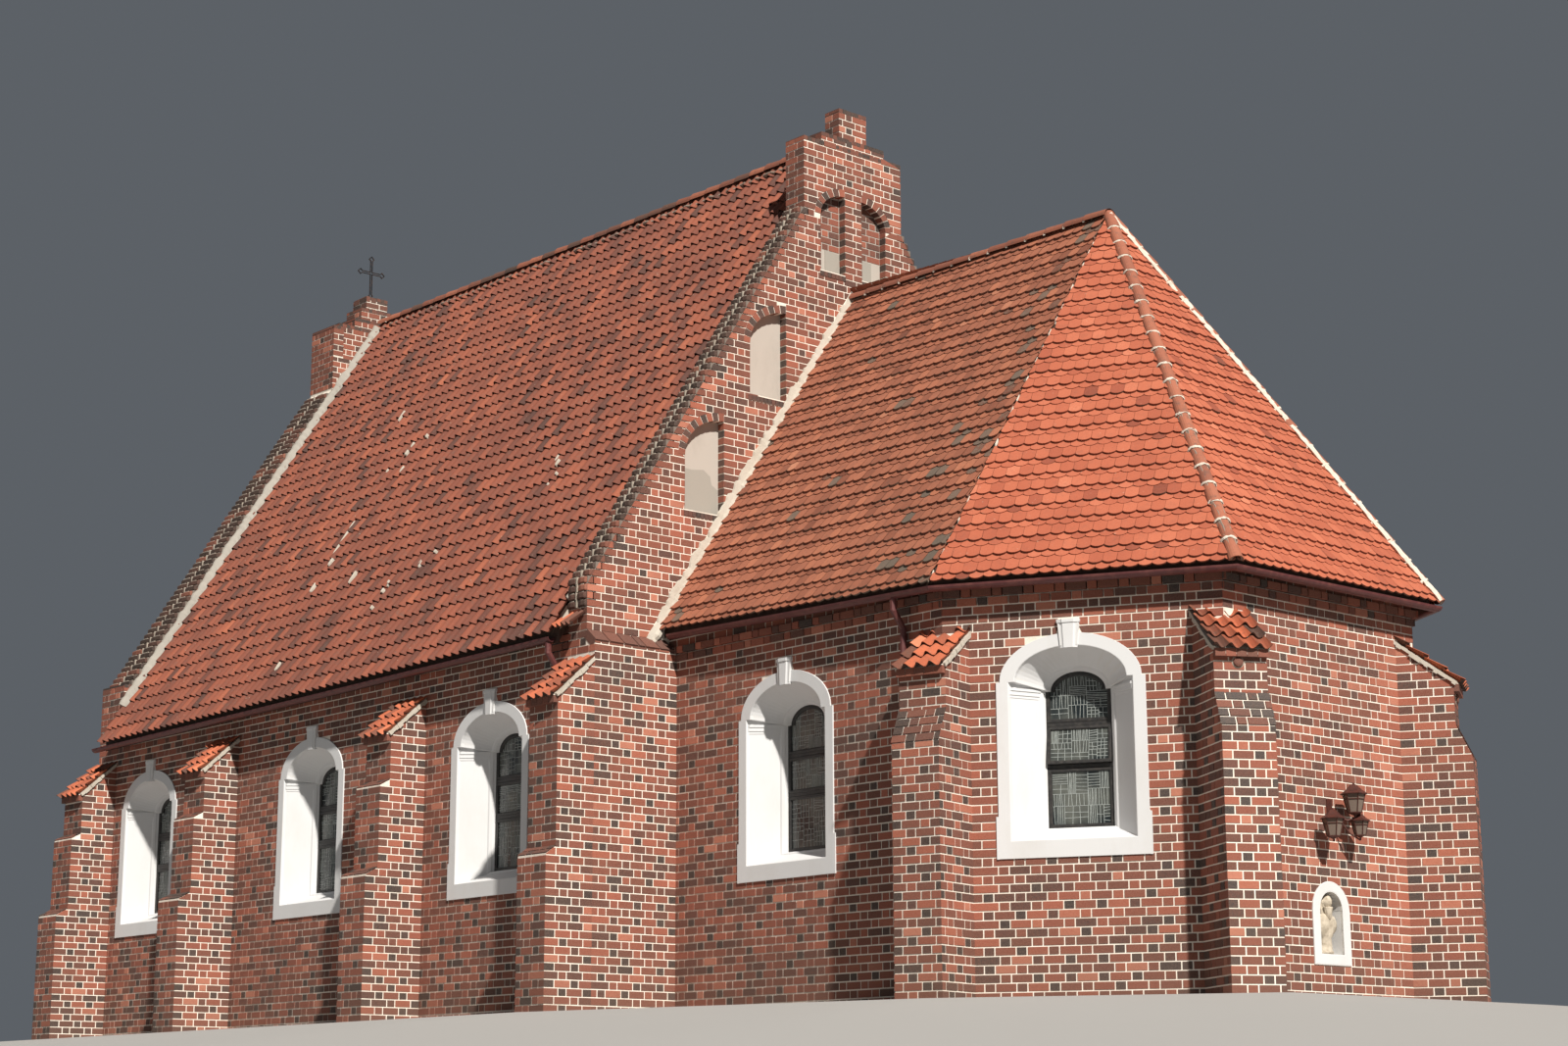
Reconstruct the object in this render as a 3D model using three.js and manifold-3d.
// Brick village church: a gabled nave, a lower chancel with a polygonal east end, buttresses and steep tiled roofs.
// Millimetres, +Z up. X runs east along the long axis, Y north. The origin is on the ground,
// on the long axis, below the east face of the nave.
import * as THREE from "three";
import { mergeVertices } from "three/addons/utils/BufferGeometryUtils.js";
import Module from "manifold-3d";

const wasm = await Module();
wasm.setup();

// Driving dimensions
const GAP = 0.3;
const HALF_GAP = GAP / 2;

const NAVE = {
  length: 13000,
  half: 5018,
  wall: 850,
  wallTop: 5600,
  endWallTop: 4900,
  ridge: 13454,
  pitch: 1.577,
  slab: 140,
  eaveEast: 168,
  eaveWest: 290,
  gutterFall: 194,
};

const CHANCEL = {
  half: 3592,
  shoulder: 5368,
  east: 8420,
  eastHalf: 1903,
  wall: 800,
  wallTop: 5600,
  slab: 140,
};

// Corners of the chancel eaves on its south side, and the point where ridge and hips meet.
const EAVE = {
  south: new THREE.Vector3(5453, -3918, 5050),
  east: new THREE.Vector3(8800, -2066, 5050),
  apex: new THREE.Vector3(5163, 0, 10849),
  inset: 140,
  westLift: 114,
};

// Pantile columns of the nave roof: one rounded rib to each column, running up the slope.
const PANTILES = { columns: 66, crest: 0.1, rise: 40, foot: 76, top: 28, stop: 150 };

const EAST_GABLE = {
  thick: 400,
  parapet: 240,
  steps: [
    [1010, 13230],
    [650, 13380],
    [280, 13850],
  ],
  nicheDepth: 130,
  thinTop: { from: 13400, back: 300 },
};

const WEST_GABLE = {
  thick: 750,
  parapet: 240,
  foot: 6000,
  kneeler: 230,
  shoulder: [[1100, 13200]],
  pinnacle: [
    { half: 900, top: 13310, back: 150, front: 0 },
    { half: 500, top: 13520, back: 250, front: 0 },
    { half: 360, top: 13750, back: 250, front: 0 },
    { half: 230, top: 14010, back: 290, front: 40 },
  ],
};

const PIER = { proud: 187, front: 4970, back: 5120, eaveNotch: 110 };

const RIDGE_TILES = { naveRadius: 135, naveDrop: 45, radius: 125, drop: 40, hipRadius: 115, hipDrop: 20, knob: 150 };

const GUTTER = { nave: 65, chancel: 70, metal: 8, naveRim: 5070, chancelRise: 135, westReach: 250, eastStop: 80 };
const DOWNPIPE = { radius: 45, offWall: 75, foot: 120, drop: 210, bend: 420, chancelX: 4750, inset: 70 };

const CROSS = {
  setBack: 520,
  base: 14010,
  half: 9,
  line: 14,
  centre: 570,
  arm: 250,
  bar: 26,
  stem: [90, 860],
  plate: 50,
};

// Each lantern by its place across, its top and its size.
const LANTERN = {
  x: 260,
  centre: -70,
  tall: [216, 2630, 300],
  left: [-225, 2290, 280],
  right: [308, 2276, 232],
  arm: 14,
};
const BUST = { back: 110, chest: [150, 385], neck: [42, 55, 130, 525], head: [82, 640], foot: [75, 100, 270] };

const WINDOW = {
  bandHalf: 925,
  bandArch: 880,
  bandBottom: 1690,
  spring: 3840,
  bandTop: 4405,
  keystoneTop: 4570,
  proud: 20,
  keystoneProud: 45,
  openHalf: 775,
  openArch: 700,
  openBottom: 1900,
  openTop: 4255,
  glassHalf: 415,
  glassArch: 350,
  glassBottom: 2070,
  glassSpring: 3760,
  glassTop: 4000,
  reveal: 400,
  rebate: 55,
  sash: 50,
  seat: 45,
  room: 190,
  rail: 30,
  bar: 18,
  paneSink: 20,
  lowTransom: 2830,
  highTransom: 3350,
};

const KEYSTONE = { below: 30, footHalf: 105, headHalf: 135 };

const NAVE_WINDOWS = [-2185, -6857, -11900];
const CHANCEL_WINDOW = 2450;
const SIDE_WINDOW = 1600;

const PORTAL = { half: 850, spring: 2300, rise: 1050, bottom: 200, reveal: 300, door: 70 };
const CHANCEL_ARCH = { half: 2050, spring: 3000, rise: 1500 };
const FLOOR = 200;

const STATUE_NICHE = { centre: -90, half: 222, bottom: 560, spring: 1090, top: 1310, depth: 220 };

// Solids
const X = new THREE.Vector3(1, 0, 0);
const Y = new THREE.Vector3(0, 1, 0);
const Z = new THREE.Vector3(0, 0, 1);

function solid(geometry) {
  const loose = geometry.index ? geometry.toNonIndexed() : geometry;
  const plain = new THREE.BufferGeometry();
  plain.setAttribute("position", loose.getAttribute("position").clone());
  const merged = mergeVertices(plain, 1e-3);
  return new wasm.Manifold(
    new wasm.Mesh({
      numProp: 3,
      vertProperties: new Float32Array(merged.attributes.position.array),
      triVerts: new Uint32Array(merged.index.array),
    }),
  );
}

function geometryOf(body) {
  const mesh = body.getMesh();
  const points = new Float32Array(mesh.numVert * 3);
  for (let i = 0; i < mesh.numVert; i++) {
    points.set(mesh.vertProperties.subarray(i * mesh.numProp, i * mesh.numProp + 3), i * 3);
  }
  const geometry = new THREE.BufferGeometry();
  geometry.setAttribute("position", new THREE.BufferAttribute(points, 3));
  geometry.setIndex(new THREE.BufferAttribute(new Uint32Array(mesh.triVerts), 1));
  geometry.computeVertexNormals();
  return geometry;
}

const join = (...bodies) => bodies.reduce((a, b) => a.add(b));

function block(x0, x1, y0, y1, z0, z1) {
  const box = new THREE.BoxGeometry(x1 - x0, y1 - y0, z1 - z0);
  box.translate((x0 + x1) / 2, (y0 + y1) / 2, (z0 + z1) / 2);
  return solid(box);
}

// An outline of [u, v] points, drawn on the axes u and v through an origin and extruded along u x v.
function extrude(outline, depth, u, v, origin) {
  const shape = new THREE.Shape(outline.map(([a, b]) => new THREE.Vector2(a, b)));
  const geometry = new THREE.ExtrudeGeometry(shape, { depth, bevelEnabled: false });
  const w = new THREE.Vector3().crossVectors(u, v);
  geometry.applyMatrix4(new THREE.Matrix4().makeBasis(u, v, w).setPosition(origin));
  return solid(geometry);
}

// A plan outline raised from one height to another.
function raise(outline, z0, z1) {
  return extrude(outline, z1 - z0, X, Y, new THREE.Vector3(0, 0, z0));
}

// A profile of [y, z] points that runs along X.
function alongX(profile, x0, x1) {
  return extrude(profile, x1 - x0, Y, Z, new THREE.Vector3(x0, 0, 0));
}

// Takes away all that lies beyond a plane, on the side of its normal.
function cutBeyond(body, point, normal) {
  const size = 60000;
  const box = new THREE.BoxGeometry(size, size, size);
  box.translate(0, 0, size / 2);
  const turn = new THREE.Quaternion().setFromUnitVectors(Z, normal.clone().normalize());
  box.applyQuaternion(turn);
  box.translate(point.x, point.y, point.z);
  return body.subtract(solid(box));
}

// A closed skin over rings of points, each ring anticlockwise about the direction of travel.
function skin(rings) {
  const count = rings[0].length;
  const at = (ring, i) => ring[i % count];
  const faces = [];
  for (let k = 0; k + 1 < rings.length; k++) {
    for (let i = 0; i < count; i++) {
      const a = at(rings[k], i);
      const b = at(rings[k], i + 1);
      const c = at(rings[k + 1], i + 1);
      const d = at(rings[k + 1], i);
      faces.push(a, b, c, a, c, d);
    }
  }
  const first = rings[0];
  const last = rings[rings.length - 1];
  for (const [i, j, k] of capTriangles(first)) {
    faces.push(first[i], first[k], first[j]);
  }
  for (const [i, j, k] of capTriangles(last)) {
    faces.push(last[i], last[j], last[k]);
  }
  const geometry = new THREE.BufferGeometry();
  geometry.setFromPoints(faces);
  return solid(geometry);
}

// Triangles of one ring, drawn flat on its own plane and anticlockwise about its normal.
function capTriangles(ring) {
  const normal = new THREE.Vector3();
  ring.forEach((p, i) => {
    const q = ring[(i + 1) % ring.length];
    normal.add(new THREE.Vector3().crossVectors(p.clone().sub(ring[0]), q.clone().sub(ring[0])));
  });
  normal.normalize();
  const side = Math.abs(normal.z) < 0.9 ? Z : X;
  const u = new THREE.Vector3().crossVectors(side, normal).normalize();
  const v = new THREE.Vector3().crossVectors(normal, u);
  const flat = ring.map((p) => new THREE.Vector2(p.dot(u), p.dot(v)));
  return THREE.ShapeUtils.triangulateShape(flat, []);
}

// A profile of [side, up] points carried along a path, with a mitre at each bend.
function sweep(profile, path) {
  const rings = path.map((p, i) => {
    const before = p.clone().sub(path[Math.max(i - 1, 0)]).normalize();
    const after = path[Math.min(i + 1, path.length - 1)].clone().sub(p).normalize();
    const along = before.clone().add(after).normalize();
    const leg = i > 0 ? before : after;
    const rise = Math.abs(leg.z) > 0.9 ? X : Z;
    const side = new THREE.Vector3().crossVectors(rise, leg).normalize();
    const up = new THREE.Vector3().crossVectors(leg, side);
    return profile.map(([a, b]) => {
      const q = p.clone().addScaledVector(side, a).addScaledVector(up, b);
      const back = q.clone().sub(p).dot(along) / leg.dot(along);
      return q.addScaledVector(leg, -back);
    });
  });
  return skin(rings);
}

// A round bar along a path that stays in one vertical plane or one level.
function bar(path, radius, sides = 8) {
  const profile = [];
  for (let i = 0; i < sides; i++) {
    const a = (2 * Math.PI * (i + 0.5)) / sides;
    profile.push([radius * Math.cos(a), radius * Math.sin(a)]);
  }
  const bodies = [];
  for (let i = 0; i + 1 < path.length; i++) {
    bodies.push(sweep(profile, [path[i], path[i + 1]]));
  }
  for (let i = 1; i + 1 < path.length; i++) {
    const ball = new THREE.IcosahedronGeometry(radius * 1.02, 1);
    ball.translate(path[i].x, path[i].y, path[i].z);
    bodies.push(solid(ball));
  }
  return join(...bodies);
}

// Wall frames: a point on the outer face, the direction along the wall, and the outward direction.
function wallFrame(x0, y0, x1, y1) {
  const along = new THREE.Vector3(x1 - x0, y1 - y0, 0);
  const length = along.length();
  along.normalize();
  const out = new THREE.Vector3().crossVectors(along, Z);
  return { origin: new THREE.Vector3(x0, y0, 0), along, out, length };
}

function inFrame(frame, s, z, d) {
  return frame.origin.clone().addScaledVector(frame.along, s).addScaledVector(Z, z).addScaledVector(frame.out, d);
}

// Outlines of [s, z] points at given distances d from the wall face, joined by a skin.
function skinInFrame(frame, sections) {
  return skin(sections.map(([outline, d]) => outline.map(([s, z]) => inFrame(frame, s, z, d))));
}

const FRAMES = {
  naveSouth: wallFrame(0, -NAVE.half, 1000, -NAVE.half),
  naveNorth: wallFrame(0, NAVE.half, -1000, NAVE.half),
  west: wallFrame(-NAVE.length - WEST_GABLE.thick, 0, -NAVE.length - WEST_GABLE.thick, -1000),
  south: wallFrame(0, -CHANCEL.half, CHANCEL.shoulder, -CHANCEL.half),
  southeast: wallFrame(CHANCEL.shoulder, -CHANCEL.half, CHANCEL.east, -CHANCEL.eastHalf),
  east: wallFrame(CHANCEL.east, -CHANCEL.eastHalf, CHANCEL.east, CHANCEL.eastHalf),
  northeast: wallFrame(CHANCEL.east, CHANCEL.eastHalf, CHANCEL.shoulder, CHANCEL.half),
  north: wallFrame(CHANCEL.shoulder, CHANCEL.half, 0, CHANCEL.half),
};

// Arched windows
function archOutline(centre, half, arch, bottom, spring, top, grow = 0) {
  const points = [
    [centre - half - grow, bottom - grow],
    [centre + half + grow, bottom - grow],
    [centre + half + grow, spring],
  ];
  const parts = 12;
  for (let i = 0; i <= parts; i++) {
    const a = (Math.PI * i) / parts;
    points.push([centre + (arch + grow) * Math.cos(a), spring + 1 + (top + grow - spring) * Math.sin(a)]);
  }
  points.push([centre - half - grow, spring]);
  return points;
}

function windowBand(frame, centre) {
  const w = WINDOW;
  const band = archOutline(centre, w.bandHalf, w.bandArch, w.bandBottom, w.spring, w.bandTop);
  const key = [
    [centre - KEYSTONE.footHalf, w.openTop - KEYSTONE.below],
    [centre + KEYSTONE.footHalf, w.openTop - KEYSTONE.below],
    [centre + KEYSTONE.headHalf, w.keystoneTop],
    [centre - KEYSTONE.headHalf, w.keystoneTop],
  ];
  return join(
    skinInFrame(frame, [
      [band, -5],
      [band, w.proud],
    ]),
    skinInFrame(frame, [
      [key, -5],
      [key, w.keystoneProud],
    ]),
  );
}

function windowCut(frame, centre, thickness) {
  const w = WINDOW;
  const face = archOutline(centre, w.openHalf, w.openArch, w.openBottom, w.spring, w.openTop);
  const glass = archOutline(centre, w.glassHalf, w.glassArch, w.glassBottom, w.glassSpring, w.glassTop);
  const seat = archOutline(centre, w.glassHalf, w.glassArch, w.glassBottom, w.glassSpring, w.glassTop, w.seat);
  const room = archOutline(centre, w.glassHalf, w.glassArch, w.glassBottom, w.glassSpring, w.glassTop, w.room);
  return join(
    skinInFrame(frame, [
      [glass, -w.reveal - 1],
      [glass, -w.reveal],
      [face, 0],
      [face, 60],
    ]),
    skinInFrame(frame, [
      [room, -thickness - 5],
      [seat, -w.reveal - w.rebate],
      [seat, -w.reveal],
    ]),
  );
}

// The steel window: a frame with two transoms round three panes.
function windowSash(frame, centre) {
  const w = WINDOW;
  const grow = w.seat - GAP;
  const outline = archOutline(centre, w.glassHalf, w.glassArch, w.glassBottom, w.glassSpring, w.glassTop, grow);
  const back = -w.reveal - GAP - w.sash;
  const front = -w.reveal - GAP;
  const plate = skinInFrame(frame, [
    [outline, back],
    [outline, front],
  ]);
  const half = w.glassHalf - w.rail;
  const low = box2(centre, half, w.glassBottom + w.rail, w.lowTransom - w.bar);
  const middle = box2(centre, half, w.lowTransom + w.bar, w.highTransom - w.bar);
  const archHalf = w.glassArch - 10;
  const top = archOutline(centre, half, archHalf, w.highTransom + w.bar, w.glassSpring, w.glassTop - w.rail);
  let body = plate;
  for (const pane of [low, middle, top]) {
    body = body.subtract(skinInFrame(frame, [
      [pane, front - w.paneSink],
      [pane, front + 5],
    ]));
    body = body.subtract(skinInFrame(frame, [
      [pane, back - 5],
      [pane, back + w.paneSink],
    ]));
  }
  return body;
}

function box2(centre, half, bottom, top) {
  return [
    [centre - half, bottom],
    [centre + half, bottom],
    [centre + half, top],
    [centre - half, top],
  ];
}

// Nave
const naveRoofAt = (y) => NAVE.ridge - NAVE.pitch * Math.abs(y);
const naveSlabDrop = NAVE.slab * Math.hypot(1, NAVE.pitch);

function aboveNaveSlab(lift) {
  const half = 7000;
  return alongX(
    [
      [half, naveRoofAt(half) + lift],
      [half, 20000],
      [-half, 20000],
      [-half, naveRoofAt(half) + lift],
      [0, NAVE.ridge + lift],
    ],
    -15000,
    1000,
  );
}

function naveSideWall(frame, sign) {
  const x0 = -NAVE.length + HALF_GAP;
  const x1 = -NAVE.wall - HALF_GAP;
  const outer = NAVE.half;
  const inner = NAVE.half - NAVE.wall;
  const y0 = sign < 0 ? -outer : inner;
  const y1 = sign < 0 ? -inner : outer;
  let body = block(x0, x1, y0, y1, 0, NAVE.wallTop);
  for (const centre of NAVE_WINDOWS) {
    const s = sign < 0 ? centre : -centre;
    body = body.add(windowBand(frame, s)).subtract(windowCut(frame, s, NAVE.wall));
  }
  return body.subtract(aboveNaveSlab(-naveSlabDrop - GAP));
}

function naveRoof(sign) {
  const x0 = -NAVE.length + GAP;
  const x1 = -EAST_GABLE.thick - GAP;
  const y1 = -HALF_GAP;
  const far = -NAVE.half - 1500;
  const slab = alongX(
    [
      [far, naveRoofAt(far)],
      [far, naveRoofAt(far) - naveSlabDrop],
      [y1, naveRoofAt(y1) - naveSlabDrop],
      [y1, naveRoofAt(y1)],
    ],
    x0,
    x1,
  );
  const east = new THREE.Vector3(x1, -NAVE.half - NAVE.eaveEast, 0);
  const west = new THREE.Vector3(x0, -NAVE.half - NAVE.eaveWest, 0);
  const eave = west.clone().sub(east);
  const out = new THREE.Vector3().crossVectors(Z, eave).normalize();
  const body = cutBeyond(join(slab, ...pantileRibs(x0, x1, far)), east, out);
  return sign < 0 ? body : mirrored(body);
}

// One rib for each column of pantiles, from below the ridge tiles down past the eave.
function pantileRibs(x0, x1, far) {
  const t = PANTILES;
  const step = (x1 - x0) / t.columns;
  const run = Math.hypot(1, NAVE.pitch);
  const out = new THREE.Vector3(0, -NAVE.pitch / run, 1 / run);
  const length = (-t.stop - far) * run;
  const ribs = [];
  for (let i = 0; i < t.columns; i++) {
    const x = x0 + (i + t.crest) * step;
    const outline = [
      [Math.max(-t.foot / 2, x0 - x), -5],
      [t.foot / 2, -5],
      [t.top / 2, t.rise],
      [Math.max(-t.top / 2, x0 - x), t.rise],
    ];
    ribs.push(extrude(outline, length, X, out, new THREE.Vector3(x, -t.stop, naveRoofAt(t.stop))));
  }
  return ribs;
}

// The same body on the other side of the long axis.
function mirrored(body) {
  const geometry = geometryOf(body);
  geometry.scale(1, -1, 1);
  const index = geometry.index.array;
  for (let i = 0; i < index.length; i += 3) {
    [index[i + 1], index[i + 2]] = [index[i + 2], index[i + 1]];
  }
  return solid(geometry);
}

function naveRidge() {
  const z = NAVE.ridge - RIDGE_TILES.naveDrop;
  const x0 = -NAVE.length + GAP;
  const x1 = -EAST_GABLE.thick - GAP;
  const ends = [new THREE.Vector3(x0, 0, z), new THREE.Vector3(x1, 0, z)];
  const body = bar(ends, RIDGE_TILES.naveRadius, 12);
  const under = alongX(
    [
      [-2000, naveRoofAt(2000) + GAP],
      [-2000, 0],
      [2000, 0],
      [2000, naveRoofAt(2000) + GAP],
      [0, NAVE.ridge + GAP],
    ],
    -15000,
    1000,
  );
  return body.subtract(under);
}

// End walls
function pointedOutline(half, bottom, spring, rise) {
  const points = [
    [-half, bottom],
    [half, bottom],
  ];
  const parts = 7;
  const radius = (rise * rise + half * half) / (2 * half);
  for (let i = 0; i <= parts; i++) {
    const z = (rise * i) / parts;
    points.push([half - radius + Math.sqrt(radius * radius - z * z), spring + z]);
  }
  for (let i = parts - 1; i >= 0; i--) {
    const z = (rise * i) / parts;
    points.push([-half + radius - Math.sqrt(radius * radius - z * z), spring + z]);
  }
  return points;
}

function pier(sign) {
  const outline = [
    [0, 0],
    [PIER.proud, 0],
    [PIER.proud, PIER.front],
    [0, PIER.back],
  ];
  const width = NAVE.half - CHANCEL.half - GAP;
  const y = sign < 0 ? -CHANCEL.half - GAP : NAVE.half;
  const body = extrude(outline, width, X, Z, new THREE.Vector3(0, y, 0));
  const notch = CHANCEL.half + PIER.eaveNotch;
  return body.subtract(block(-1, 400, -notch, notch, PIER.front - 20, 6000));
}

function chancelArchWall() {
  const a = CHANCEL_ARCH;
  let body = block(-NAVE.wall, 0, -NAVE.half, NAVE.half, 0, NAVE.endWallTop);
  body = body.subtract(alongX(pointedOutline(a.half, -10, a.spring, a.rise), -NAVE.wall - 10, 10));
  for (const sign of [-1, 1]) {
    body = body.add(pier(sign));
  }
  const back = block(-NAVE.wall - 1, GAP, -NAVE.half - 1, NAVE.half + 1, NAVE.endWallTop, 7000);
  return body.subtract(back);
}

// Half of the gable outline, from the foot up to the top, for y of 0 or more.
function gableProfile(parapet, foot, steps) {
  const slope = (y) => naveRoofAt(y) + parapet;
  const right = [[NAVE.half, foot]];
  right.push([NAVE.half, slope(NAVE.half)]);
  right.push([steps[0][0], slope(steps[0][0])]);
  steps.forEach(([y, z], i) => {
    right.push([y, z]);
    if (i + 1 < steps.length) right.push([steps[i + 1][0], z]);
  });
  const left = right.map(([y, z]) => [-y, z]).reverse();
  return [...right, ...left];
}

// A blind niche whose half arch rises towards the long axis.
function halfNiche(outer, inner, sill, spring, apex) {
  const points = [
    [inner, sill],
    [outer, sill],
    [outer, spring],
  ];
  const parts = 6;
  for (let i = 1; i <= parts; i++) {
    const a = (Math.PI / 2) * (i / parts);
    points.push([inner + (outer - inner) * Math.cos(a), spring + (apex - spring) * Math.sin(a)]);
  }
  return points;
}

const GABLE_NICHES = [
  [3320, 2585, 7070, 7850, 8470],
  [2100, 1385, 8980, 9740, 10330],
  [680, 170, 11180, 12060, 12440],
];

function eastGable() {
  const g = EAST_GABLE;
  let body = alongX(gableProfile(g.parapet, NAVE.endWallTop + GAP, g.steps), -g.thick, 0);
  for (const [outer, inner, sill, spring, apex] of GABLE_NICHES) {
    const north = halfNiche(outer, inner, sill, spring, apex);
    const south = north.map(([y, z]) => [-y, z]).reverse();
    for (const outline of [north, south]) {
      body = body.subtract(alongX(outline, -g.nicheDepth, 50));
    }
  }
  const { from, back } = g.thinTop;
  return body.subtract(block(-g.thick - 1, -back, -1200, 1200, from, 14000));
}

function westWall() {
  const g = WEST_GABLE;
  const east = -NAVE.length;
  const west = east - g.thick;
  let body = alongX(gableProfile(g.parapet, 0, g.shoulder), west, east);
  for (const sign of [-1, 1]) {
    const a = sign * NAVE.half;
    const b = sign * (NAVE.half - g.kneeler);
    body = body.add(block(west, east, Math.min(a, b), Math.max(a, b), 5000, g.foot));
  }
  const [first] = g.pinnacle;
  body = body.subtract(block(east - first.back, east + 1, -first.half, first.half, 12600, 14500));
  for (const { half, top, back, front } of g.pinnacle) {
    body = body.add(block(west + front, east - back, -half, half, 13000, top));
  }
  const p = PORTAL;
  const face = pointedOutline(p.half, p.bottom, p.spring, p.rise);
  const seat = pointedOutline(p.half + 90, p.bottom, p.spring, p.rise + 90);
  const f = FRAMES.west;
  body = body.subtract(skinInFrame(f, [[face, -p.reveal - 1], [face, 60]]));
  return body.subtract(skinInFrame(f, [[seat, -g.thick - 20], [seat, -p.reveal]]));
}

function westDoor() {
  const p = PORTAL;
  const seat = pointedOutline(p.half + 90 - GAP, p.bottom + GAP, p.spring, p.rise + 90 - GAP);
  const front = -p.reveal - GAP;
  let body = skinInFrame(FRAMES.west, [[seat, front - p.door], [seat, front]]);
  const strip = [
    [-12, p.bottom],
    [12, p.bottom],
    [12, 3200],
    [-12, 3200],
  ];
  body = body.subtract(skinInFrame(FRAMES.west, [[strip, front - 12], [strip, front + 5]]));
  return body;
}

// Chancel
const OUTER = [
  [0, -CHANCEL.half],
  [CHANCEL.shoulder, -CHANCEL.half],
  [CHANCEL.east, -CHANCEL.eastHalf],
  [CHANCEL.east, CHANCEL.eastHalf],
  [CHANCEL.shoulder, CHANCEL.half],
  [0, CHANCEL.half],
];

const SIDE_FRAMES = [FRAMES.south, FRAMES.southeast, FRAMES.east, FRAMES.northeast, FRAMES.north];

// The point inside a corner where the inner wall faces meet, for walls of one thickness.
function innerCorner(i, thickness) {
  const a = SIDE_FRAMES[i - 1];
  const b = SIDE_FRAMES[i];
  const bisector = a.out.clone().add(b.out).normalize();
  const reach = thickness / bisector.dot(a.out);
  return [OUTER[i][0] - bisector.x * reach, OUTER[i][1] - bisector.y * reach];
}

const INNER = [
  [0, -CHANCEL.half + CHANCEL.wall],
  innerCorner(1, CHANCEL.wall),
  innerCorner(2, CHANCEL.wall),
  innerCorner(3, CHANCEL.wall),
  innerCorner(4, CHANCEL.wall),
  [0, CHANCEL.half - CHANCEL.wall],
];

// The five roof planes, each by a point and its outward normal.
function roofPlanes() {
  const a = EAVE.south;
  const b = EAVE.east;
  const p = EAVE.apex;
  const plane = (u, v) => {
    const normal = new THREE.Vector3().crossVectors(u.clone().sub(p), v.clone().sub(p)).normalize();
    return { point: p, normal: normal.z < 0 ? normal.negate() : normal };
  };
  const flip = ({ normal }) => ({ point: p, normal: new THREE.Vector3(normal.x, -normal.y, normal.z) });
  const south = plane(a, a.clone().add(X));
  const southeast = plane(a, b);
  const east = plane(b, new THREE.Vector3(b.x, -b.y, b.z));
  return [south, southeast, east, flip(southeast), flip(south)];
}

const ROOF_PLANES = roofPlanes();

function underRoof(offset, x0) {
  let body = block(x0, 10500, -6000, 6000, -100, 11500);
  for (const { point, normal } of ROOF_PLANES) {
    body = cutBeyond(body, point.clone().addScaledVector(normal, offset), normal);
  }
  return body;
}

// Vertical planes through the edges of the roof slabs.
function eavePlanes() {
  const a = EAVE.south;
  const b = EAVE.east;
  const start = new THREE.Vector3(0, a.y + EAVE.westLift, 0);
  const south = new THREE.Vector3().crossVectors(a.clone().setZ(0).sub(start), Z).normalize();
  const southeast = new THREE.Vector3().crossVectors(b.clone().sub(a), Z).normalize();
  const east = X.clone();
  const list = [
    { point: a, normal: south },
    { point: b, normal: southeast },
    { point: b, normal: east },
  ];
  const flipped = list.slice(0, 2).map(({ point, normal }) => ({
    point: new THREE.Vector3(point.x, -point.y, point.z),
    normal: new THREE.Vector3(normal.x, -normal.y, normal.z),
  }));
  return [...list, ...flipped];
}

function chancelRoofShell() {
  let body = underRoof(0, GAP).subtract(block(-10, 11000, -7000, 7000, -200, 4600));
  for (const { point, normal } of eavePlanes()) {
    body = cutBeyond(body, point.clone().addScaledVector(normal, -EAVE.inset), normal);
  }
  return body.subtract(underRoof(-CHANCEL.slab, -100));
}

// The hip from the apex down to an eave corner, as a vertical plane that faces anticlockwise.
function hipNormal(corner) {
  const along = corner.clone().sub(EAVE.apex).setZ(0).normalize();
  return new THREE.Vector3().crossVectors(Z, along);
}

function chancelRoofSide(shell, index) {
  const a = EAVE.south;
  const b = EAVE.east;
  const hips = [a, b, new THREE.Vector3(b.x, -b.y, b.z), new THREE.Vector3(a.x, -a.y, a.z)].map(hipNormal);
  const keepBefore = (body, hip) => cutBeyond(body, EAVE.apex.clone().addScaledVector(hip, -HALF_GAP), hip);
  const keepAfter = (body, hip) => {
    const back = hip.clone().negate();
    return cutBeyond(body, EAVE.apex.clone().addScaledVector(back, -HALF_GAP), back);
  };
  let body = shell;
  if (index === 0) {
    body = cutBeyond(body, new THREE.Vector3(0, -HALF_GAP, 0), Y);
    return keepBefore(body, hips[0]);
  }
  return keepBefore(keepAfter(body, hips[index - 1]), hips[index]);
}

// Ridge and hip tiles, in one piece that sits on the slabs. The two western hips are swept, without hip tiles.
function chancelRidge() {
  const t = RIDGE_TILES;
  const level = (drop) => EAVE.apex.clone().setZ(EAVE.apex.z - drop);
  const top = level(t.drop);
  const bodies = [bar([new THREE.Vector3(GAP, 0, top.z), top], t.radius, 12)];
  for (const sign of [1, -1]) {
    const corner = EAVE.east.clone();
    corner.y *= sign;
    const foot = corner.lerp(EAVE.apex, 0.035);
    bodies.push(bar([foot.setZ(foot.z - t.hipDrop), level(t.hipDrop)], t.hipRadius, 10));
  }
  const cap = new THREE.IcosahedronGeometry(t.knob, 1);
  cap.translate(top.x, top.y, top.z + 20);
  bodies.push(solid(cap));
  return join(...bodies).subtract(underRoof(GAP, -100));
}

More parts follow.
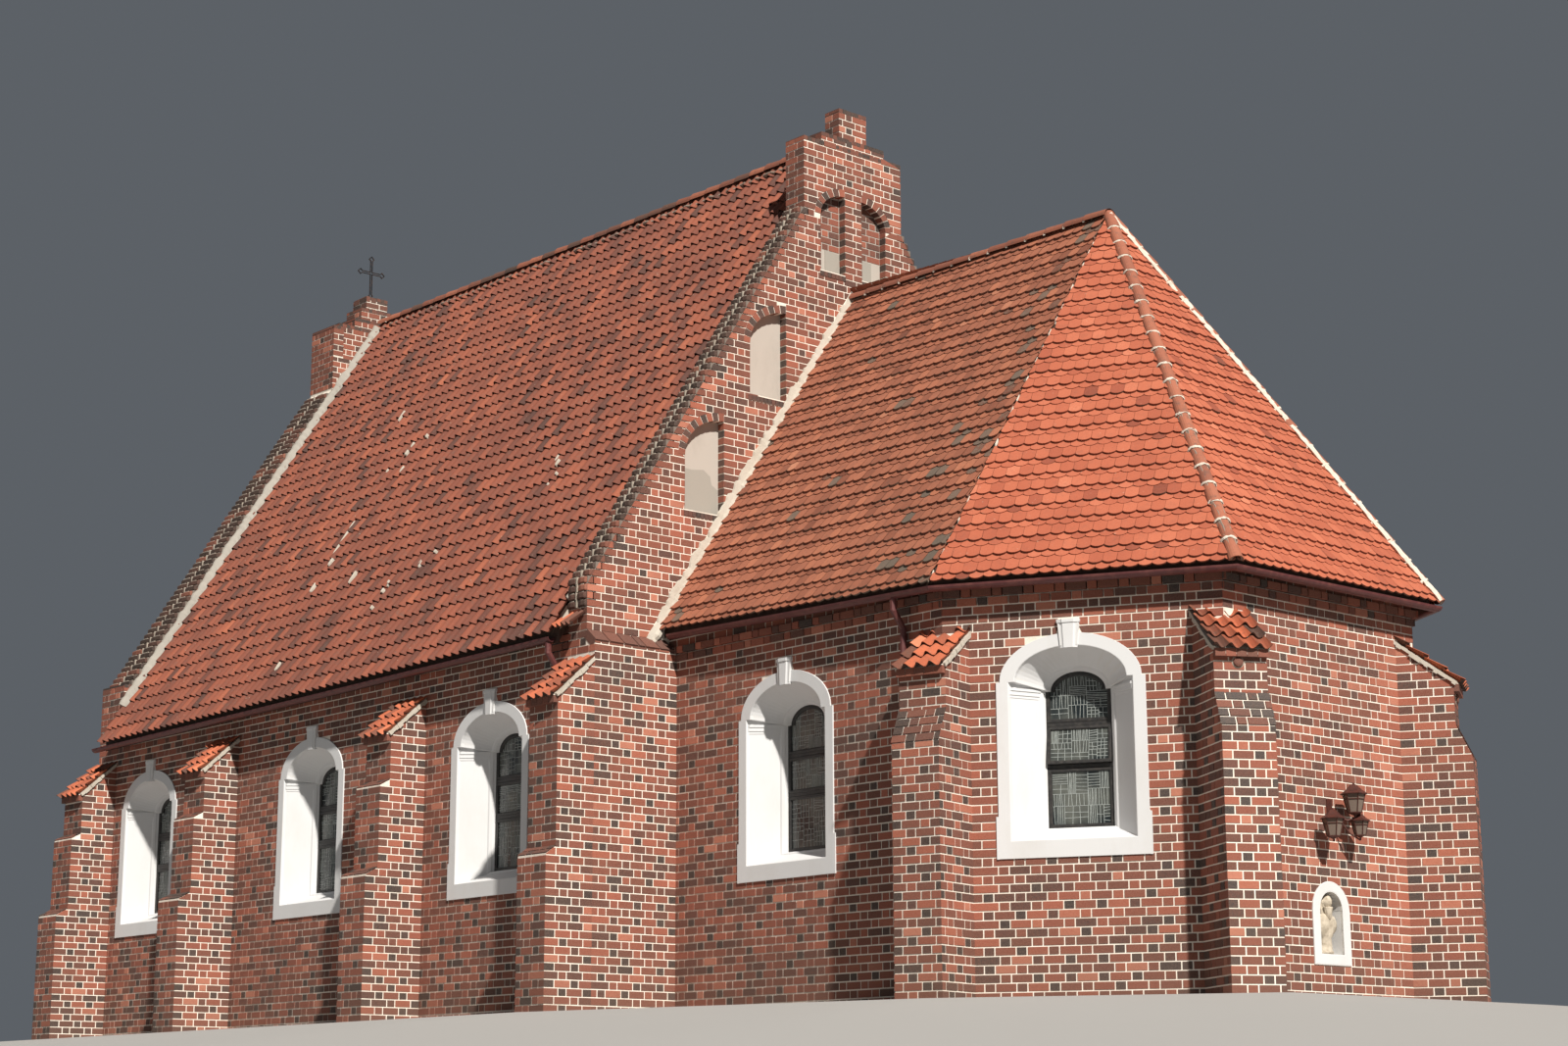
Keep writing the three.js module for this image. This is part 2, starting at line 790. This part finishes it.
function chancelWall(index) {
  const inset = (from, to, by) => {
    const d = new THREE.Vector2(to[0] - from[0], to[1] - from[1]).normalize();
    return [from[0] + d.x * by, from[1] + d.y * by];
  };
  const [a, b] = [OUTER[index], OUTER[index + 1]];
  const [p, q] = [INNER[index], INNER[index + 1]];
  const plan = [inset(a, b, HALF_GAP), inset(b, a, HALF_GAP), inset(q, p, HALF_GAP), inset(p, q, HALF_GAP)];
  let body = raise(plan, 0, CHANCEL.wallTop).intersect(underRoof(-CHANCEL.slab - GAP, HALF_GAP));
  const frame = SIDE_FRAMES[index];
  const centres = [CHANCEL_WINDOW, SIDE_WINDOW, null, frame.length - SIDE_WINDOW, frame.length - CHANCEL_WINDOW];
  const centre = centres[index];
  if (centre !== null) {
    body = body.add(windowBand(frame, centre)).subtract(windowCut(frame, centre, CHANCEL.wall));
  }
  if (index === 2) body = withStatueNiche(body);
  return body;
}

function withStatueNiche(body) {
  const n = STATUE_NICHE;
  const f = FRAMES.east;
  const s = n.centre + CHANCEL.eastHalf;
  const round = (half, bottom, spring, top) => archOutline(s, half, half - 2, bottom, spring, top);
  const band = round(n.half + 140, n.bottom - 130, n.spring, n.top + 120);
  const hole = round(n.half, n.bottom, n.spring, n.top);
  const banded = body.add(skinInFrame(f, [[band, -5], [band, 20]]));
  return banded.subtract(skinInFrame(f, [[hole, -n.depth], [hole, 60]]));
}

// Buttresses: a stepped body under a sloping tiled cap. Levels run from the ground up, as [depth, top].
function buttressProfile(levels, capFront, capBack, start) {
  const points = [[start, 0]];
  levels.forEach(([depth, top, slope], i) => {
    points.push([depth, i === 0 ? 0 : levels[i - 1][1] + levels[i - 1][2]]);
    points.push([depth, i + 1 < levels.length ? top : capFront - CAP.thick - CAP.bed]);
  });
  const last = levels[levels.length - 1][0];
  points.push([last + CAP.lip, capFront - CAP.thick]);
  points.push([last + CAP.lip, capFront]);
  points.push([start, capBack]);
  return points;
}

function buttress(origin, out, width, profile) {
  const across = new THREE.Vector3().crossVectors(out, Z);
  const start = origin.clone().addScaledVector(across, -width / 2);
  return extrude(profile, width, out, Z, start);
}

// The sloping tiled cap of a buttress: how far it overhangs, how thick it is and the bed under it.
const CAP = { lip: 70, thick: 70, bed: 20 };

const NAVE_BUTTRESS = {
  width: 614,
  corner: [[766, 2050, 110], [606, 0, 0]],
  middle: [[960, 2050, 110], [755, 3330, 90], [592, 0, 0]],
  front: 4070,
  back: 4660,
};
const NAVE_BUTTRESS_X = [-120, -4107, -9375, -13443];

function naveButtress(index, sign) {
  const b = NAVE_BUTTRESS;
  const levels = index === 0 ? b.corner : b.middle;
  const lift = index === 0 ? 80 : 0;
  const profile = buttressProfile(levels, b.front + lift, b.back + lift, GAP);
  const out = new THREE.Vector3(0, sign, 0);
  return buttress(new THREE.Vector3(NAVE_BUTTRESS_X[index], sign * NAVE.half, 0), out, b.width, profile);
}

const APSE_BUTTRESS = { width: 650, levels: [[690, 3070, 420], [500, 0, 0]], front: 4000, back: 4660 };

function apseButtress(corner) {
  const b = APSE_BUTTRESS;
  const [before, after] = [SIDE_FRAMES[corner - 1], SIDE_FRAMES[corner]];
  const out = before.out.clone().add(after.out).normalize();
  const profile = buttressProfile(b.levels, b.front, b.back, -300);
  const origin = new THREE.Vector3(OUTER[corner][0], OUTER[corner][1], 0);
  const body = buttress(origin, out, b.width, profile);
  const inside = raise(
    [
      INNER[corner - 1],
      [OUTER[corner - 1][0] + before.out.x * GAP, OUTER[corner - 1][1] + before.out.y * GAP],
      cornerAt(corner, GAP),
      [OUTER[corner + 1][0] + after.out.x * GAP, OUTER[corner + 1][1] + after.out.y * GAP],
      INNER[corner + 1],
      INNER[corner],
    ],
    -10,
    9000,
  );
  return body.subtract(inside);
}

function cornerAt(corner, offset) {
  const [before, after] = [SIDE_FRAMES[corner - 1], SIDE_FRAMES[corner]];
  const bisector = before.out.clone().add(after.out).normalize();
  const reach = offset / bisector.dot(before.out);
  return [OUTER[corner][0] + bisector.x * reach, OUTER[corner][1] + bisector.y * reach];
}

// Floor of nave and chancel, through the chancel arch.
function floor() {
  const inner = NAVE.half - NAVE.wall - GAP;
  const x1 = -NAVE.wall - GAP;
  const nave = block(-NAVE.length + GAP, x1, -inner, inner, 0, FLOOR);
  const half = CHANCEL_ARCH.half - GAP;
  const neck = block(x1 - 100, 100, -half, half, 0, FLOOR);
  const points = INNER.map(([x, y], i) => {
    if (i === 0 || i === 5) return [GAP, y - Math.sign(y) * GAP];
    const [px, py] = innerCorner(i, CHANCEL.wall + GAP);
    return [px, py];
  });
  return join(nave, neck, raise(points, 0, FLOOR));
}

// Gutters: a half-round channel, with a downpipe that bends back to the wall.
function channel(radius, thick) {
  const points = [];
  const parts = 8;
  for (let i = 0; i <= parts; i++) {
    const a = Math.PI + (Math.PI * i) / parts;
    points.push([radius * Math.cos(a), radius * Math.sin(a)]);
  }
  for (let i = parts; i >= 0; i--) {
    const a = Math.PI + (Math.PI * i) / parts;
    points.push([(radius - thick) * Math.cos(a), (radius - thick) * Math.sin(a)]);
  }
  return points;
}

// A downpipe from the bottom of a gutter at (x, y) back to the wall and down.
function downpipe(x, y, top, wall) {
  const d = DOWNPIPE;
  const path = [
    new THREE.Vector3(x, y, top),
    new THREE.Vector3(x, y, top - d.drop + 60),
    new THREE.Vector3(x, wall - d.offWall, top - d.bend + 60),
    new THREE.Vector3(x, wall - d.offWall, d.foot),
  ];
  return bar(path, d.radius);
}

function naveGutter(sign) {
  const g = GUTTER;
  const off = (x) => {
    const t = (-EAST_GABLE.thick - x) / (NAVE.length - EAST_GABLE.thick);
    return NAVE.eaveEast + (NAVE.eaveWest - NAVE.eaveEast) * t + g.nave + GAP;
  };
  const x0 = -NAVE.length - g.westReach;
  const x1 = -EAST_GABLE.thick - g.eastStop;
  const path = [
    new THREE.Vector3(x1, -NAVE.half - off(x1), g.naveRim),
    new THREE.Vector3(x0, -NAVE.half - off(x0), g.naveRim - NAVE.gutterFall),
  ];
  const gutter = sweep(channel(g.nave, g.metal), path);
  const x = x1 - DOWNPIPE.inset;
  const pipe = downpipe(x, -NAVE.half - off(x), g.naveRim - g.nave + 4, -NAVE.half);
  const body = gutter.add(pipe);
  return sign < 0 ? body : mirrored(body);
}

// Where two upright planes, moved in by a distance, meet at a height.
function meetInside(p, q, inset, z) {
  const cp = p.point.dot(p.normal) - p.point.z * p.normal.z - inset;
  const cq = q.point.dot(q.normal) - q.point.z * q.normal.z - inset;
  const det = p.normal.x * q.normal.y - p.normal.y * q.normal.x;
  const x = (cp * q.normal.y - cq * p.normal.y) / det;
  const y = (p.normal.x * cq - q.normal.x * cp) / det;
  return new THREE.Vector3(x, y, z);
}

function chancelGutter() {
  const g = GUTTER;
  const inset = EAVE.inset - g.chancel - GAP;
  const planes = eavePlanes();
  const rim = EAVE.south.z;
  const s = meetInside(planes[0], planes[1], inset, rim);
  const e = meetInside(planes[1], planes[2], inset, rim);
  const west = { point: new THREE.Vector3(PIER.proud + 20 + inset, 0, 0), normal: X };
  const start = meetInside(planes[0], west, inset, rim + g.chancelRise);
  const half = [start, s, e];
  const path = [...half, ...half.map((p) => new THREE.Vector3(p.x, -p.y, p.z)).reverse()];
  const gutter = sweep(channel(g.chancel, g.metal), path);
  const t = (DOWNPIPE.chancelX - start.x) / (s.x - start.x);
  const at = start.clone().lerp(s, t);
  const pipe = downpipe(at.x, at.y, at.z - g.chancel + 4, -CHANCEL.half);
  return join(gutter, pipe, mirrored(pipe));
}

// Iron cross on the west gable, drawn in outline with pointed ends.
function crossOutline(grow) {
  const c = CROSS;
  const half = c.bar + grow;
  const point = grow * 1.4;
  const diamond = (y, z, r) => [[y - r, z], [y, z - r], [y + r, z], [y, z + r]];
  return [
    [[-half, c.stem[0]], [half, c.stem[0]], [half, c.stem[1]], [-half, c.stem[1]]],
    [[-c.arm, c.centre - half], [c.arm, c.centre - half], [c.arm, c.centre + half], [-c.arm, c.centre + half]],
    diamond(0, c.stem[0] + 30, 52 + point),
    diamond(0, c.stem[1] - 10, 62 + point),
    diamond(-c.arm + 10, c.centre, 62 + point),
    diamond(c.arm - 10, c.centre, 62 + point),
  ];
}

function ironCross() {
  const c = CROSS;
  const x = -NAVE.length - c.setBack;
  const base = c.base + GAP;
  const build = (grow, half) => {
    const raised = crossOutline(grow).map((shape) => shape.map(([y, z]) => [y, z + base]));
    return join(...raised.map((shape) => alongX(shape, x - half, x + half)));
  };
  const ring = build(0, c.half).subtract(build(-c.line, 20));
  const stem = block(x - 12, x + 12, -12, 12, base, base + 70);
  const plate = block(x - c.plate, x + c.plate, -c.plate, c.plate, base, base + 12);
  return join(ring, stem, plate);
}

// Wall lantern: a bracket with three six-sided lanterns.
function lanternBody(x, y, top, size) {
  const body = new THREE.CylinderGeometry(size * 0.42, size * 0.26, size, 6);
  body.rotateX(Math.PI / 2);
  body.translate(x, y, top - size * 0.85);
  const roof = new THREE.CylinderGeometry(size * 0.06, size * 0.56, size * 0.36, 6);
  roof.rotateX(Math.PI / 2);
  roof.translate(x, y, top - size * 0.18);
  return solid(body).add(solid(roof));
}

function wallLantern() {
  const l = LANTERN;
  const x = CHANCEL.east;
  const y = l.centre;
  const plate = block(x + GAP, x + 30, y - 40, y + 120, 2060, 2420);
  const bodies = [plate];
  for (const [side, top, size] of [l.tall, l.left, l.right]) {
    const level = top - (side === l.tall[0] ? 290 : 130);
    bodies.push(lanternBody(x + l.x, y + side, top, size));
    bodies.push(bar([new THREE.Vector3(x + 20, y + 40, level), new THREE.Vector3(x + l.x, y + side, level)], l.arm, 6));
  }
  return join(...bodies);
}

// A plain bust on a round foot, in the niche of the east wall.
function nicheBust() {
  const b = BUST;
  const x = CHANCEL.east - b.back;
  const y = STATUE_NICHE.centre;
  const z = STATUE_NICHE.bottom + GAP;
  const ball = ([radius, height], sx, sy, sz, dx) => {
    const g = new THREE.IcosahedronGeometry(radius, 2);
    g.scale(sx, sy, sz);
    g.translate(x + dx, y, z + height);
    return solid(g);
  };
  const post = (top, bottom, height, middle, sides) => {
    const g = new THREE.CylinderGeometry(top, bottom, height, sides);
    g.rotateX(Math.PI / 2);
    g.translate(x, y, z + middle);
    return solid(g);
  };
  const foot = post(...b.foot, b.foot[2] / 2, 12);
  const neck = post(...b.neck, 10);
  return join(foot, neck, ball(b.chest, 0.55, 1.05, 0.95, -5), ball(b.head, 0.85, 0.78, 1.12, 8));
}

// Assembly
const BRICK = { color: 0x9c4a36, roughness: 0.85, metalness: 0 };
const TILE = { color: 0xb5502f, roughness: 0.8, metalness: 0 };
const STEEL = { color: 0x2b2b2b, roughness: 0.5, metalness: 0.6 };
const SHEET = { color: 0x5a2a25, roughness: 0.5, metalness: 0.2 };
const PAVING = { color: 0x9a8f80, roughness: 0.9, metalness: 0 };
const OAK = { color: 0x5b3a22, roughness: 0.7, metalness: 0 };
const COPPER = { color: 0x6a3a26, roughness: 0.45, metalness: 0.5 };
const STONE = { color: 0xd8d0c4, roughness: 0.8, metalness: 0 };

const church = new THREE.Group();
church.name = "church";

function put(name, body, finish) {
  const mesh = new THREE.Mesh(geometryOf(body), new THREE.MeshStandardMaterial(finish));
  mesh.name = name;
  church.add(mesh);
}

const SIDES = ["south", "southeast", "east", "northeast", "north"];

put("floor", floor(), PAVING);
put("nave_south_wall", naveSideWall(FRAMES.naveSouth, -1), BRICK);
put("nave_north_wall", naveSideWall(FRAMES.naveNorth, 1), BRICK);
put("west_wall", westWall(), BRICK);
put("west_door", westDoor(), OAK);
put("chancel_arch_wall", chancelArchWall(), BRICK);
put("east_gable", eastGable(), BRICK);
put("nave_roof_south", naveRoof(-1), TILE);
put("nave_roof_north", naveRoof(1), TILE);
put("nave_ridge", naveRidge(), TILE);
SIDES.forEach((side, i) => put("chancel_" + side + "_wall", chancelWall(i), BRICK));
const shell = chancelRoofShell();
const roofs = [0, 1, 2].map((i) => chancelRoofSide(shell, i));
roofs.push(mirrored(roofs[1]), mirrored(roofs[0]));
SIDES.forEach((side, i) => put("chancel_roof_" + side, roofs[i], TILE));
put("chancel_ridge_and_hips", chancelRidge(), TILE);
for (let i = 0; i < 4; i++) {
  put("nave_buttress_south_" + (i + 1), naveButtress(i, -1), BRICK);
  put("nave_buttress_north_" + (i + 1), naveButtress(i, 1), BRICK);
}
["south", "southeast", "northeast", "north"].forEach((side, i) => {
  put("chancel_buttress_" + side, apseButtress(i + 1), BRICK);
});
NAVE_WINDOWS.forEach((centre, i) => {
  put("nave_window_south_" + (i + 1), windowSash(FRAMES.naveSouth, centre), STEEL);
  put("nave_window_north_" + (i + 1), windowSash(FRAMES.naveNorth, -centre), STEEL);
});
put("chancel_window_south", windowSash(FRAMES.south, CHANCEL_WINDOW), STEEL);
put("chancel_window_southeast", windowSash(FRAMES.southeast, SIDE_WINDOW), STEEL);
put("chancel_window_northeast", windowSash(FRAMES.northeast, FRAMES.northeast.length - SIDE_WINDOW), STEEL);
put("chancel_window_north", windowSash(FRAMES.north, FRAMES.north.length - CHANCEL_WINDOW), STEEL);
put("nave_gutter_south", naveGutter(-1), SHEET);
put("nave_gutter_north", naveGutter(1), SHEET);
put("chancel_gutter", chancelGutter(), SHEET);
put("iron_cross", ironCross(), STEEL);
put("wall_lantern", wallLantern(), COPPER);
put("niche_bust", nicheBust(), STONE);

export default church;
